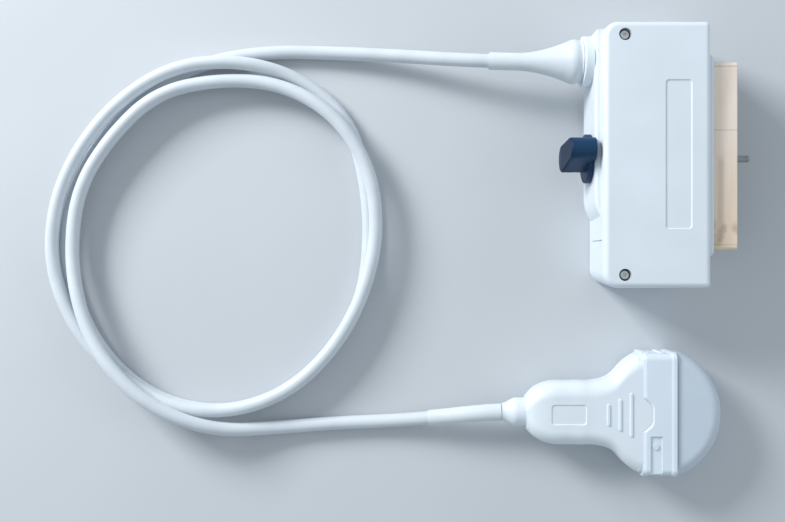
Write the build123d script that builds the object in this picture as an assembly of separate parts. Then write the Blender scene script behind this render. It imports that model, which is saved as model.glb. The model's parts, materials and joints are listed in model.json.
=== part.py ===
from build123d import *
from math import cos, pi, radians, sin, tan
import os

# Ultrasound transducer probe: convex scanhead, its cable and the system connector, in millimetres.
# The origin is on the floor, under the middle of the scanhead and connector together.
# X runs along the scanhead and across the connector, Y along the connector's length, Z up.

# Where the two housings stand
connector_x = 3.55
connector_y = 56.4
handle_x = -36.65
handle_y = -95.4

# Connector box
box_width = 61.0
box_length = 152.0
box_height = 50.0
cover_height = 6.0
box_wall = 2.5
wall_lean = 1.7
back_corner = 8.5
face_corner = 2.5
cover_edge = 3.2
cover_front_edge = 1.0
seam_edge = 0.35
foot_edge = 1.2

# Raised pad on the cable-side wall, and the slit beside it, along Y from the lever's axis
pad_proud = 3.1
pad_from_end = 2.0
pad_foot_end = -38.0
pad_slope = 15.0
pad_slope_share = 0.3
pad_slope_rise = 2.7
pad_corner_x = 1.2
pad_corner_y = 3.0
pad_low = 5.0
pad_from_top = 10.0
slit_y = -48.7
slit_width = 0.7
slit_depth = 1.9
slit_low = 10.0

# Label pocket and screws of the top cover
label_width = 15.3
label_length = 85.2
label_from_face = 18.55
label_y = 0.2
label_depth = 0.6
label_corner = 2.0
pocket_lean = 0.55
screw_x = 11.95
screw_from_end = 7.5
well_radius = 3.5
well_depth = 4.2
well_seat = 1.3
boss_radius = 4.0
head_radius = 2.5
head_height = 2.4
screw_radius = 1.25
screw_length = 12.0
hex_across = 2.2
hex_depth = 1.3

# Mouth of the connector: bezel, metal shell, insulator and contacts
bezel_margin_y = 3.95
bezel_margin_z = 3.0
bezel_thick = 3.0
bezel_chamfer = 1.2
shell_length = 108.4
shell_height = 36.0
shell_reach = 17.2
shell_wall = 1.2
shell_corner = 2.2
flange_thick = 1.5
flange_margin = 2.6
block_recess = 7.0
block_depth = 7.0
board_thick = 1.6
contact_rows = 6
contact_columns = 18
contact_margin_y = 8.7
contact_margin_z = 5.7
contact_width = 1.0
contact_thick = 0.6
contact_reach = 3.5

# Shaft, its lever and its bushings
shaft_radius = 3.0
tip_radius = 2.0
tip_reach = 30.7
shaft_step_reach = 12.0
lever_gap = 0.3
disc_radius = 14.5
disc_thick = 3.2
grip_reach = 17.0
hub_radius = 8.0
arm_radius = 6.6
arm_length = 17.0
arm_tilt = 14.0
arm_slant = 3.2
lever_edge = 1.2
pin_radius = 1.0
pin_from_end = 5.0
bushing_radius = 5.0
bushing_flange = 7.0
bushing_flange_thick = 1.6
clip_thick = 0.8
clip_radius = 5.4
groove_radius = 2.4
collar_radius = 6.6
collar_thick = 4.0
lug_radius = 10.5
lug_width = 4.0
stop_gap = 0.3

# Cable and its strain reliefs
cable_radius = 4.1
cable_clearance = 0.12
boot_from_end = 18.4
boot_gap = 0.14
boot_flange_radius = 14.9
boot_flange_thick = 5.3
boot_flange_edge = 1.0
boot_neck = 0.9
boot_thick_radius = 12.9
boot_thin_radius = 5.2
boot_collar = 6.0
boot_taper = 31.0
boot_length = 54.2
boot_sections = 18
clamp_x = 19.0
clamp_thick = 10.0
clamp_height = 8.0
clamp_half_width = 13.0
clamp_screw_y = 9.0
core_radius = 2.6

# Connector's inner board
board_x = 19.5
board_from_face = 13.5
board_from_end = 10.0
board_from_cable_end = 35.0
board_z = 9.5
board_boss_radius = 2.6
board_screw_inset = 3.0
board_screw_length = 6.0
chip_size = 10.0
chip_pitch = 18.0
chip_thick = 1.6
link_width = 6.0
link_height = 6.0
link_half_length = 30.0
core_header_width = 10.0
core_header_length = 8.0
core_end_gap = 14.0

# Scanhead: handle shells
axis_z = 14.2
handle_length = 68.3
handle_wall = 2.2
shoulder = 9.0
pocket_x = 13.9
pocket_length = 21.0
pocket_width = 12.1
pocket_depth = 0.5
pocket_corner = 2.0
rib_places = (20.6, 13.7, 7.1)
rib_lengths = (13.0, 18.9, 26.0)
rib_width = 1.8
rib_proud = 0.7
rib_edge = 0.45
tongue_length = 5.5
tongue_base = 10.35
tongue_tip = 5.3
tongue_round = 6.0
spigot_length = 3.0
spigot_thick = 1.4
shell_fit = 0.1

# Scanhead: nose housing, along X from the handle's front end
nose_length = 20.1
nose_half = 36.2
nose_height = 27.4
nose_wall = 2.2
nose_edge = 4.0
step_drop = 0.7
step_length = 1.9
rim_half = 37.0
rim_height = 28.4
rim_width = 3.4
rim_drop = 0.45
rim_slope = 1.3
rim_edge = 0.35
bead_width = 4.0
mid_rib_start = 11.1
mid_rib_width = 1.9
rib_low = 5.0
side_rib_proud = 0.8
marker_pocket_start = 4.1
marker_pocket_width = 7.1
marker_pocket_edge = -12.6
marker_pocket_depth = 1.0
dot_start = 7.4
dot_y = -18.8
dot_radius = 1.75
dot_proud = 0.7
post_radius = 3.0
post_start = 10.2
post_y = 17.0

# Scanhead: lens and the array behind it, along X from the handle's front end
lens_centre = 8.4
lens_radius = 39.7
lens_half = 36.6
lens_height = 25.2
lens_round = 8.0
lens_side_edge = 1.5
lens_start = 20.9
lens_wall = 1.4
cavity_margin = 0.5
cavity_edge = 0.4
lens_spigot_start = 14.7
lens_spigot_half = 34.6
lens_spigot_height = 23.4
array_half_height = 6.5
array_half_angle = 55.0
layer_thick = 0.5
layer_gap = 0.05
array_thick = 0.6
backing_thick = 12.0
carrier_start = 5.7
flex_half_width = 9.0
flex_thick = 0.3
flex_overlap = 10.0
flex_run_in = 1.5

# Scanhead: gland, cable boot and what is at the cable's end
gland_length = 14.3
gland_flare = 5.4
gland_radius = 8.6
gland_mouth = 5.3
gland_neck = 7.0
gland_collar = 7.9
ferrule_radius = 5.6
ferrule_length = 5.0
cradle_x = 4.4
cradle_thick = 2.6
head_boot_length = 44.3
head_boot_thick_end = 5.2
head_boot_thin_end = 4.7
head_board_x = 19.0
head_board_gap = 6.3
head_board_half = 10.0
head_post_start = 12.0
head_post_end = 14.0
head_post_inset = 2.6
head_boss_radius = 2.4
terminal_length = 6.0
terminal_half = 6.0
terminal_height = 5.2

# Places worked out from the sizes above: connector
seam_z = box_height - cover_height
connector_axis_z = box_height / 2
face_x = connector_x + box_width
inner_face_x = face_x - box_wall
pad_x = connector_x - pad_proud
pad_high = box_height - pad_from_top
pad_top_end = box_length / 2 - pad_from_end
label_x = box_width - label_from_face
screw_reach = box_length / 2 - screw_from_end
board_width = box_width - board_x - board_from_face
board_low_y = board_from_end - box_length / 2
board_high_y = box_length / 2 - board_from_cable_end
bezel_length = shell_length + 2 * bezel_margin_y
bezel_height = shell_height + 2 * bezel_margin_z
shell_end_x = face_x + shell_reach
flange_x = inner_face_x - flange_thick
shell_flange_length = shell_length + 2 * flange_margin
shell_flange_height = shell_height + 1.0
block_length = shell_length - 2 * shell_wall - 2 * shell_fit
block_height = shell_height - 2 * shell_wall - 2 * shell_fit
contact_board_x = flange_x - block_depth
block_end_x = shell_end_x - block_recess
contact_pitch_y = (block_length - 2 * contact_margin_y) / (contact_columns - 1)
contact_pitch_z = (block_height - 2 * contact_margin_z) / (contact_rows - 1)
tip_x = face_x + tip_reach
disc_x = pad_x - lever_gap
lever_end_x = disc_x - grip_reach
shaft_step_x = face_x + shaft_step_reach
boot_axis_y = connector_y + box_length / 2 - boot_from_end
boot_flange_x = pad_x - boot_flange_thick
boot_start_x = boot_flange_x - 0.2

# Places worked out from the sizes above: scanhead
nose_x = handle_x + handle_length
nose_end_x = nose_x + nose_length
head_board_length = handle_length - head_board_x - head_board_gap
head_board_end_x = nose_x - head_board_gap
lens_centre_x = nose_x + lens_centre
lens_spigot_x = nose_x + lens_spigot_start
array_radius = lens_radius - lens_wall - layer_gap
carrier_radius = array_radius - layer_thick - array_thick - backing_thick
cavity_half = array_half_height + cavity_margin
bore_radius = cable_radius + cable_clearance

# Half width of the handle shell at distances from its rear end, stretched to the handle's length
handle_outline = (
    (0.0, 10.0), (2.2, 12.2), (4.6, 14.3), (9.5, 16.9), (14.3, 18.3), (20.0, 18.8), (28.0, 18.8), (36.2, 18.8),
    (41.0, 19.1), (45.8, 20.0), (50.7, 22.0), (55.5, 26.4), (60.4, 31.4), (64.5, 34.3), (68.3, 35.6),
)
# Half height of the handle shell near its rear end, and beyond
handle_rise = ((0.0, 9.4), (2.2, 10.6), (4.6, 11.6), (9.5, 12.6))
handle_half_height = 13.0

# Route of the cable, from its end in the connector to its end in the scanhead
cable_route = [
    (connector_x + 30.45, boot_axis_y, connector_axis_z), (connector_x - 6.55, boot_axis_y, connector_axis_z),
    (connector_x - 44.55, boot_axis_y + 0.2, connector_axis_z - 1.0), (-78.0, 116.8, 18.0),
    (-115.5, 121.0, 9.5), (-153.5, 123.6, 5.0), (-192.0, 124.6, 4.2), (-230.0, 118.8, 4.2),
    (-265.5, 102.5, 4.2), (-293.5, 74.5, 4.2), (-313.0, 41.0, 4.2), (-320.5, 3.0, 4.2),
    (-310.5, -34.0, 4.2), (-291.0, -67.0, 4.2), (-260.5, -90.5, 4.2), (-222.5, -98.0, 4.2),
    (-185.5, -87.5, 4.2), (-156.5, -63.0, 4.2), (-136.0, -30.5, 4.2), (-130.5, 7.5, 4.2),
    (-133.0, 45.0, 4.2), (-143.5, 83.0, 4.4), (-172.5, 108.0, 5.0), (-208.5, 117.5, 12.7),
    (-247.5, 115.0, 12.8), (-281.0, 95.5, 12.8), (-306.5, 66.0, 12.8), (-322.5, 31.5, 11.3),
    (-325.0, -7.0, 11.2), (-311.5, -42.5, 12.0), (-286.5, -72.5, 12.8), (-253.5, -93.0, 12.8),
    (-215.0, -96.4, 12.5), (-179.0, -83.5, 12.8), (-151.5, -56.5, 12.8), (-133.5, -23.0, 12.8),
    (-125.5, 14.5, 12.8), (-130.5, 52.5, 12.7), (-151.5, 85.0, 13.2), (-185.0, 104.0, 11.0),
    (-223.0, 106.5, 10.4), (-260.0, 98.0, 13.2), (-287.5, 72.0, 12.8), (-307.5, 41.0, 12.0),
    (-313.0, 3.0, 11.0), (-306.0, -34.5, 16.6), (-288.0, -67.5, 22.4), (-259.5, -93.0, 22.4),
    (-224.5, -107.0, 15.4), (-187.5, -106.5, 5.0), (-152.0, -103.8, 4.2), (-122.0, -102.6, 4.6),
    (-92.0, -99.8, 9.2), (handle_x - 22.35, handle_y - 0.3, axis_z - 0.3), (handle_x + 9.5, handle_y, axis_z),
]


def block(x0, x1, y0, y1, z0, z1):
    """Box between two corners."""
    return Pos((x0 + x1) / 2, (y0 + y1) / 2, (z0 + z1) / 2) * Box(x1 - x0, y1 - y0, z1 - z0)


def rod_x(radius, x0, x1, y, z):
    """Cylinder along X."""
    return Pos((x0 + x1) / 2, y, z) * Rot(0, 90, 0) * Cylinder(radius, x1 - x0)


def rod_z(radius, x, y, z0, z1):
    """Cylinder along Z."""
    return Pos(x, y, (z0 + z1) / 2) * Cylinder(radius, z1 - z0)


def slab_x(width, height, corner, x0, x1, y, z):
    """Plate across X with rounded corners, its width along Y."""
    face = Plane(origin=(x0, y, z), x_dir=(0, 1, 0), z_dir=(1, 0, 0)) * RectangleRounded(width, height, corner)
    return extrude(face, x1 - x0)


def stepped_slab(width, height, corner, stations, y, z):
    """Plate across X through rounded sections, from pairs of X and inset."""
    sections = []
    for x, inset in stations:
        plane = Plane(origin=(x, y, z), x_dir=(0, 1, 0), z_dir=(1, 0, 0))
        sections.append(plane * RectangleRounded(width - 2 * inset, height - 2 * inset, corner - inset))
    return loft(sections, ruled=True)


def sunk_pocket(width, length, corner, x, y, top, depth):
    """Shallow pocket with leaning sides, sunk in a level surface."""
    levels = []
    for side in (-1, 1):
        grown = side * pocket_lean
        outline = RectangleRounded(width + 2 * grown, length + 2 * grown, corner + grown)
        levels.append(Pos(x, y, top + side * depth) * outline)
    return loft(levels, ruled=True)


def turned(profile, y, z):
    """Solid of revolution about a line along X, from pairs of X and radius."""
    points = [(profile[0][0], 0.0), *profile, (profile[-1][0], 0.0)]
    half = Plane.XZ * make_face(Polyline(*points, close=True))
    return Pos(0, y, z) * revolve(half, Axis.X)


def route_radii(points):
    """Bend radius at each inner point: as large as the two runs beside it allow."""
    radii = []
    for before, here, after in zip(points, points[1:], points[2:]):
        first = Vector(*here) - Vector(*before)
        second = Vector(*after) - Vector(*here)
        half_turn = radians(first.get_angle(second)) / 2
        radii.append(0.45 * min(first.length, second.length) / tan(half_turn))
    return radii


def route_path(points):
    """Straight runs joined by tangent arcs through a list of points."""
    return FilletPolyline(*points, radius=route_radii(points))


def tube(path, radius):
    """Round bar that follows a path."""
    return sweep(path.location_at(0) * Circle(radius), path=path)


def tapered_along(path, start, profile):
    """Sleeve whose radius changes along a path, from pairs of distance and radius."""
    rings = []
    for distance, radius in profile:
        middle = path.position_at(start + distance, position_mode=PositionMode.LENGTH)
        ahead = path.tangent_at(start + distance, position_mode=PositionMode.LENGTH)
        rings.append(Plane(origin=middle, x_dir=Vector(0, 0, 1).cross(ahead), z_dir=ahead) * Circle(radius))
    return loft(rings)


cable_path = route_path(cable_route)
connector_lead = route_path(cable_route[:6])
scanhead_lead = route_path(cable_route[:-7:-1])
connector_lead_bore = tube(connector_lead, bore_radius)
scanhead_lead_bore = tube(scanhead_lead, bore_radius)


def lean_at(z):
    """How far the tray's three leaning walls stand inside their rim at a height."""
    return wall_lean * (seam_z - z) / seam_z


def box_outline(inset, z, lean=0.0):
    """Plan outline of the connector box at a height, pulled in by an inset and the lean of three walls."""
    middle_x = connector_x + (box_width + lean) / 2
    face = Rectangle(box_width - 2 * inset - lean, box_length - 2 * inset - 2 * lean)
    back = face.vertices().sort_by(Axis.X)[:2]
    face = fillet(back, max(back_corner - inset, 0.5))
    front = [v for v in face.vertices() if v.X > 0]
    face = fillet(front, max(face_corner - inset, 0.5))
    return Pos(middle_x, connector_y, z) * face


def leaning_box(stations):
    """Box through plan outlines, from pairs of inset and height."""
    return loft([box_outline(inset, z, lean_at(z)) for inset, z in stations], ruled=True)


def make_pad():
    """Raised pad on the cable-side wall, with a curved slope at one end."""
    low = connector_y + pad_foot_end
    high = connector_y + pad_top_end
    back = connector_x + wall_lean + box_wall / 2
    slope = ThreePointArc(
        (back, low), (pad_x + pad_slope_rise, low + pad_slope_share * pad_slope), (pad_x, low + pad_slope)
    )
    edge = Polyline((pad_x, low + pad_slope), (pad_x, high - pad_corner_y),
                    (pad_x + pad_corner_x, high - pad_corner_y / 5), (back, high), (back, low))
    plan = make_face([*slope.edges(), *edge.edges()])
    pad = extrude(Pos(0, 0, pad_low) * plan, pad_high - pad_low)
    lip = pad.faces().sort_by(Axis.Z)[-1].edges().sort_by(Axis.X)[0]
    foot = pad.faces().sort_by(Axis.Z)[0].edges().sort_by(Axis.X)[0]
    return chamfer([lip, foot], pad_proud * 0.45)


def tray_rest_height():
    """Height of the ribs that the collar's lugs come down on."""
    return connector_axis_z - lug_width / 2 - stop_gap


def make_bottom_cover():
    """Tray of the connector: floor, leaning walls, pad, bosses, cable saddle and stop ribs."""
    tray = leaning_box([(foot_edge, 0), (0, foot_edge), (0, seam_z - seam_edge), (seam_edge, seam_z)])
    tray += make_pad()
    tray -= leaning_box([(box_wall, box_wall), (box_wall, seam_z + 1)])
    pedestal_x = connector_x + clamp_x
    tray += block(pedestal_x, pedestal_x + clamp_thick, boot_axis_y - clamp_half_width,
                  boot_axis_y + clamp_half_width, box_wall, connector_axis_z)
    for side in (-1, 1):
        screw_y = connector_y + side * screw_reach
        tray += rod_z(boss_radius, connector_x + screw_x, screw_y, box_wall, screw_seat_z())
        tray -= rod_z(screw_radius + 0.05, connector_x + screw_x, connector_y + side * screw_reach,
                      screw_seat_z() - screw_length, screw_seat_z())
        tray -= rod_z(screw_radius + 0.05, pedestal_x + clamp_thick / 2, boot_axis_y + side * clamp_screw_y,
                      connector_axis_z - 8, connector_axis_z)
        rest_y = connector_y + side * (collar_radius + lug_radius) / 2
        tray += block(collar_place(), collar_place() + collar_thick, rest_y - 1.2, rest_y + 1.2,
                      box_wall, tray_rest_height())
    for x, y in board_corners():
        tray += rod_z(board_boss_radius, x, y, box_wall, board_z)
        tray -= rod_z(screw_radius + 0.05, x, y, board_z - 5, board_z)
    window = shell_length / 2 + shell_fit
    window_low = connector_axis_z - shell_height / 2 - shell_fit
    tray -= block(inner_face_x - 1, face_x + 1, connector_y - window, connector_y + window, window_low, seam_z + 1)
    tray += rod_x(bushing_flange + 0.6, bushing_seat() - 2, bushing_seat(), connector_y, connector_axis_z)
    tray -= rod_x(bushing_radius + 0.02, pad_x - 1, bushing_seat() + 1, connector_y, connector_axis_z)
    tray -= connector_lead_bore
    slit_middle = connector_y + slit_y
    tray -= block(connector_x - 1, connector_x + slit_depth, slit_middle - slit_width / 2,
                  slit_middle + slit_width / 2, slit_low, seam_z - 1)
    return tray


def bushing_seat():
    """Flat inner face of the cable-side wall's boss, where the rear bushing's flange rests."""
    return connector_x + box_wall + lean_at(connector_axis_z - bushing_flange - 1) + 0.2


def screw_seat_z():
    """Top of the tray's screw bosses, where the cover's wells rest."""
    return box_height - well_depth - well_seat


def collar_place():
    """Where the stop collar starts on the shaft, behind the clip and the bushing."""
    return bushing_seat() + bushing_flange_thick + clip_thick + 1.2


def board_corners():
    """Screw places of the connector's board."""
    low_x = connector_x + board_x + board_screw_inset
    high_x = connector_x + board_x + board_width - board_screw_inset
    low_y = connector_y + board_low_y + board_screw_inset
    high_y = connector_y + board_high_y - board_screw_inset
    return [(x, y) for x in (low_x, high_x) for y in (low_y, high_y)]


def make_top_cover():
    """Lid of the connector with its label pocket and two screw wells."""
    cover = extrude(box_outline(0, seam_z), cover_height)
    top = cover.faces().sort_by(Axis.Z)[-1].edges()
    front = top.sort_by(Axis.X)[-1]
    cover = fillet([e for e in top if e != front], cover_edge)
    bevel = make_face(Polyline((face_x - cover_front_edge, box_height), (face_x, box_height - cover_front_edge),
                               (face_x + 1, box_height - cover_front_edge), (face_x + 1, box_height + 1),
                               (face_x - cover_front_edge, box_height + 1), close=True))
    cover -= Pos(0, connector_y, 0) * extrude(Plane.XZ * bevel, box_length / 2, both=True)
    cover = chamfer(cover.faces().sort_by(Axis.Z)[0].edges(), seam_edge)
    inside = extrude(box_outline(box_wall, seam_z - 1), cover_height - box_wall + 1)
    for side in (-1, 1):
        x = connector_x + screw_x
        y = connector_y + side * screw_reach
        inside -= rod_z(well_radius + 1.6, x, y, screw_seat_z(), box_height)
    cover -= inside
    for side in (-1, 1):
        x = connector_x + screw_x
        y = connector_y + side * screw_reach
        cover -= rod_z(well_radius, x, y, box_height - well_depth, box_height + 1)
        cover -= rod_z(screw_radius + 0.15, x, y, seam_z - 1, box_height)
        cover -= rod_z(boss_radius + 0.1, x, y, seam_z - 1, screw_seat_z())
    return cover - sunk_pocket(label_width, label_length, label_corner, connector_x + label_x,
                               connector_y + label_y, box_height, label_depth)


def socket_screw(x, y, seat, length):
    """Cap screw with a hexagon socket, its head standing on a seat."""
    screw = rod_z(head_radius, x, y, seat, seat + head_height)
    screw = chamfer(screw.faces().sort_by(Axis.Z)[-1].edges(), 0.3)
    screw += rod_z(screw_radius, x, y, seat - length, seat)
    socket = RegularPolygon(hex_across / 2, 6, major_radius=False)
    return screw - extrude(Pos(x, y, seat + head_height - hex_depth) * socket, hex_depth + 1)


def make_cover_screw(side):
    """One of the two screws of the top cover."""
    seat = box_height - well_depth
    return socket_screw(connector_x + screw_x, connector_y + side * screw_reach, seat, screw_length)


def make_front_bezel():
    """Frame around the metal shell on the connector's face."""
    bezel = slab_x(bezel_length, bezel_height, 4.0, face_x, face_x + bezel_thick,
                   connector_y, connector_axis_z)
    bezel = chamfer(bezel.faces().sort_by(Axis.X)[-1].edges(), bezel_chamfer)
    hole = slab_x(shell_length + 2 * shell_fit, shell_height + 2 * shell_fit, shell_corner + shell_fit,
                  face_x - 1, face_x + bezel_thick + 1, connector_y, connector_axis_z)
    moat = slab_x(shell_length + 1.8, shell_height + 1.8, shell_corner + 0.9,
                  face_x + 1.2, face_x + bezel_thick + 1, connector_y, connector_axis_z)
    return bezel - hole - moat


def make_connector_shell():
    """Drawn metal shell around the contacts, with a flange behind the tray's wall."""
    shell = slab_x(shell_length, shell_height, shell_corner, flange_x, shell_end_x,
                   connector_y, connector_axis_z)
    shell = fillet(shell.faces().sort_by(Axis.X)[-1].edges(), 0.4)
    shell += slab_x(shell_flange_length, shell_flange_height, 1.5, flange_x, inner_face_x, connector_y,
                    connector_axis_z)
    hollow = slab_x(shell_length - 2 * shell_wall, shell_height - 2 * shell_wall, shell_corner - shell_wall,
                    flange_x - 1, shell_end_x + 1, connector_y, connector_axis_z)
    return shell - hollow


def contact_places():
    """Places of the contacts: rows on both sides of the shaft."""
    places = []
    for row in range(contact_rows):
        z = connector_axis_z + (row - (contact_rows - 1) / 2) * contact_pitch_z
        for column in range(contact_columns):
            y = connector_y + (column - (contact_columns - 1) / 2) * contact_pitch_y
            if abs(y - connector_y) > bushing_flange + 2:
                places.append((y, z))
    return places


def contact_blade(x0, x1, y, z):
    """One flat contact along X."""
    half_width, half_thick = contact_width / 2, contact_thick / 2
    return block(x0, x1, y - half_width, y + half_width, z - half_thick, z + half_thick)


def make_contact_block():
    """Insulator that holds the contacts, clamped behind the shell's flange."""
    body = slab_x(block_length, block_height, 0.9, flange_x, block_end_x, connector_y, connector_axis_z)
    body += slab_x(shell_flange_length, shell_flange_height, 1.5, contact_board_x, flange_x, connector_y,
                   connector_axis_z)
    body -= rod_x(bushing_radius + 0.02, contact_board_x - 1, block_end_x + 1, connector_y, connector_axis_z)
    for row in range(contact_rows):
        z = connector_axis_z + (row - (contact_rows - 1) / 2) * contact_pitch_z
        for side in (-1, 1):
            reach = (contact_columns - 1) / 2 * contact_pitch_y + 1.5
            near = connector_y + side * (bushing_flange + 3)
            far = connector_y + side * reach
            body -= block(block_end_x - 1.0, block_end_x + 1, min(near, far), max(near, far), z - 0.8, z + 0.8)
    pins = [contact_blade(contact_board_x - 1, block_end_x + 1, y, z) for y, z in contact_places()]
    return body - pins


def make_contacts():
    """Flat contact blades, from the contact board to the open end of the shell."""
    return Compound(children=[
        contact_blade(contact_board_x, block_end_x + contact_reach, y, z) for y, z in contact_places()])


def make_contact_board():
    """Upright circuit board behind the insulator."""
    board = block(contact_board_x - board_thick, contact_board_x, connector_y - shell_flange_length / 2,
                  connector_y + shell_flange_length / 2, connector_axis_z - shell_flange_height / 2,
                  connector_axis_z + shell_flange_height / 2)
    return board - rod_x(bushing_flange + 0.5, contact_board_x - 5, contact_board_x + 5, connector_y,
                         connector_axis_z)


def make_connector_board():
    """Main circuit board of the connector on its four bosses."""
    x0 = connector_x + board_x
    board = block(x0, x0 + board_width, connector_y + board_low_y, connector_y + board_high_y,
                  board_z, board_z + board_thick)
    for x, y in board_corners():
        board -= rod_z(screw_radius + 0.1, x, y, 0, box_height)
    return board


def make_board_screw(x, y):
    """Screw of the main board."""
    return socket_screw(x, y, board_z + board_thick, board_screw_length)


def make_board_chips():
    """Packaged parts on the main board."""
    top = board_z + board_thick
    x = connector_x + board_x + board_width / 2 - 3
    chips = []
    for step in range(-3, 1):
        y = connector_y + step * chip_pitch
        chips.append(block(x - chip_size / 2, x + chip_size / 2, y - chip_size / 2, y + chip_size / 2,
                           top, top + chip_thick))
    return Compound(children=chips)


def make_board_link():
    """Header that joins the main board to the contact board."""
    top = board_z + board_thick
    x1 = contact_board_x - board_thick
    return block(x1 - link_width, x1, connector_y - link_half_length, connector_y + link_half_length,
                 top, top + link_height)


def make_core_terminal():
    """Header on the main board where the cable's cores end."""
    top = board_z + board_thick
    x, y = core_end()
    return block(x - core_header_width / 2, x + core_header_width / 2, y - core_header_length, y,
                 top, top + 2 * core_radius + 1)


def core_end():
    """Where the cable's cores meet the main board's header."""
    return connector_x + board_x + board_width / 2, connector_y + board_high_y - core_end_gap


def make_connector_cores():
    """Bundle of cores from the cable's end to the main board."""
    x, y = core_end()
    z = board_z + board_thick + core_radius + 0.05
    start = cable_route[0]
    points = [start, (start[0] + 4, start[1], start[2]), (x + 3, start[1] - 10, start[2] - 6),
              (x, y + 8, z), (x, y, z)]
    return tube(FilletPolyline(*points, radius=4.0), core_radius)


def make_cable_clamp():
    """Strap that holds the cable down on the tray's saddle."""
    x0 = connector_x + clamp_x
    strap = block(x0, x0 + clamp_thick, boot_axis_y - clamp_half_width, boot_axis_y + clamp_half_width,
                  connector_axis_z + 0.1, connector_axis_z + clamp_height)
    strap -= connector_lead_bore
    for side in (-1, 1):
        hole_y = boot_axis_y + side * clamp_screw_y
        strap -= rod_z(screw_radius + 0.1, x0 + clamp_thick / 2, hole_y, 0, box_height)
    return strap


def make_clamp_screw(side):
    """Screw of the cable clamp."""
    x = connector_x + clamp_x + clamp_thick / 2
    screw_y = boot_axis_y + side * clamp_screw_y
    return socket_screw(x, screw_y, connector_axis_z + clamp_height, clamp_height + 6)


def make_boot_flange():
    """Round flange that the connector's boot stands on."""
    flange = rod_x(boot_flange_radius, boot_flange_x, pad_x, boot_axis_y, connector_axis_z)
    flange = fillet(flange.faces().sort_by(Axis.X)[0].edges(), boot_flange_edge)
    return flange - connector_lead_bore


def connector_boot_radius(distance):
    """Radius of the connector's boot: a collar, then a hollow flare that runs out into a sleeve."""
    left = min(max(1 - (distance - boot_collar) / boot_taper, 0), 1)
    return boot_thin_radius + (boot_thick_radius - boot_thin_radius) * left**1.75


def make_connector_boot():
    """Tapered boot that follows the cable out of the connector."""
    distances = [number * boot_length / boot_sections for number in range(boot_sections + 1)]
    flare = tapered_along(connector_lead, cable_route[0][0] - boot_start_x,
                          [(distance, connector_boot_radius(distance)) for distance in distances])
    neck = rod_x(boot_thick_radius - boot_neck, boot_start_x - 0.5, boot_flange_x,
                 boot_axis_y, connector_axis_z)
    return flare + neck - connector_lead_bore


def make_lever_shaft():
    """Shaft from the lever to the rounded tip beyond the contacts."""
    profile = [(lever_end_x + 2.0, shaft_radius), (clip_place(), shaft_radius), (clip_place(), groove_radius),
               (clip_place() + clip_thick, groove_radius), (clip_place() + clip_thick, shaft_radius),
               (shaft_step_x, shaft_radius), (shaft_step_x + 0.8, tip_radius), (tip_x - 1.4, tip_radius),
               (tip_x - 0.5, tip_radius - 0.5), (tip_x, tip_radius - 1.5)]
    return turned(profile, connector_y, connector_axis_z) - lever_pin_bar(pin_radius + 0.02, 3 * shaft_radius)


def clip_place():
    """Where the retaining clip sits: just inside the rear bushing."""
    return bushing_seat() + bushing_flange_thick + 0.2


def pin_place():
    """Where the cross pin goes through lever and shaft."""
    return lever_end_x + pin_from_end


def lever_pin_bar(radius, length):
    """Bar across the lever's arm, through the shaft, for the cross pin and its hole."""
    bar = Cylinder(radius, length)
    return Pos(pin_place(), connector_y, connector_axis_z) * Rot(90 - arm_tilt, 0, 0) * bar


def make_lock_lever():
    """Lever moulding: a disc against the pad and a teardrop grip over it."""
    plane = Plane(origin=(lever_end_x, connector_y, connector_axis_z), x_dir=(0, 1, 0), z_dir=(1, 0, 0))
    tilt = radians(90 - arm_tilt)
    arm_at = (arm_length * cos(tilt), arm_length * sin(tilt))
    hub = Circle(hub_radius)
    arm = Pos(*arm_at) * Circle(arm_radius)
    grip = extrude(plane * make_hull([*hub.edges(), *arm.edges()]), grip_reach - disc_thick + 0.5)
    top_z = connector_axis_z + arm_length + 2 * arm_radius
    slant = make_face(Polyline((lever_end_x - 1, connector_axis_z), (lever_end_x, connector_axis_z),
                               (lever_end_x + arm_slant, top_z), (lever_end_x - 1, top_z), close=True))
    grip -= Pos(0, connector_y, 0) * extrude(Plane.XZ * slant, 2 * disc_radius, both=True)
    ends = grip.faces().sort_by(Axis.X)[:2]
    rims = [e for face in ends for e in face.edges() if abs(e.center().Z - connector_axis_z) > 0.01]
    grip = fillet(rims, lever_edge)
    sole = Pos(*arm_at) * Circle(arm_radius)
    sole += Pos(arm_at[0] / 2, arm_at[1] / 2) * Rot(0, 0, 90 - arm_tilt) * Rectangle(arm_length, 2 * arm_radius)
    foot = extrude(plane.offset(grip_reach - disc_thick) * sole, disc_thick)
    disc = rod_x(disc_radius, disc_x - disc_thick, disc_x, connector_y, connector_axis_z)
    disc = fillet(disc.faces().sort_by(Axis.X)[0].edges(), 0.6)
    lever = grip + foot + disc
    bore = rod_x(shaft_radius + 0.02, lever_end_x + 2.0, disc_x + 1, connector_y, connector_axis_z)
    return lever - bore - lever_pin_bar(pin_radius + 0.02, 3 * hub_radius)


def make_lever_pin():
    """Cross pin of the lever."""
    return lever_pin_bar(pin_radius, 2 * hub_radius - 1.0)


def bushing(x0, x1, flange_x0, flange_x1):
    """Flanged sleeve for the shaft."""
    sleeve = rod_x(bushing_radius, x0, x1, connector_y, connector_axis_z)
    sleeve += rod_x(bushing_flange, flange_x0, flange_x1, connector_y, connector_axis_z)
    return sleeve - rod_x(shaft_radius + 0.04, x0 - 1, x1 + 1, connector_y, connector_axis_z)


def make_rear_bushing():
    """Bushing of the shaft in the cable-side wall."""
    flange_start = bushing_seat() + 0.05
    flange_end = flange_start + bushing_flange_thick
    return bushing(pad_x, flange_end, flange_start, flange_end)


def make_front_bushing():
    """Bushing of the shaft in the insulator."""
    return bushing(contact_board_x - bushing_flange_thick, shaft_step_x - 1.0,
                   contact_board_x - bushing_flange_thick, contact_board_x)


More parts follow.
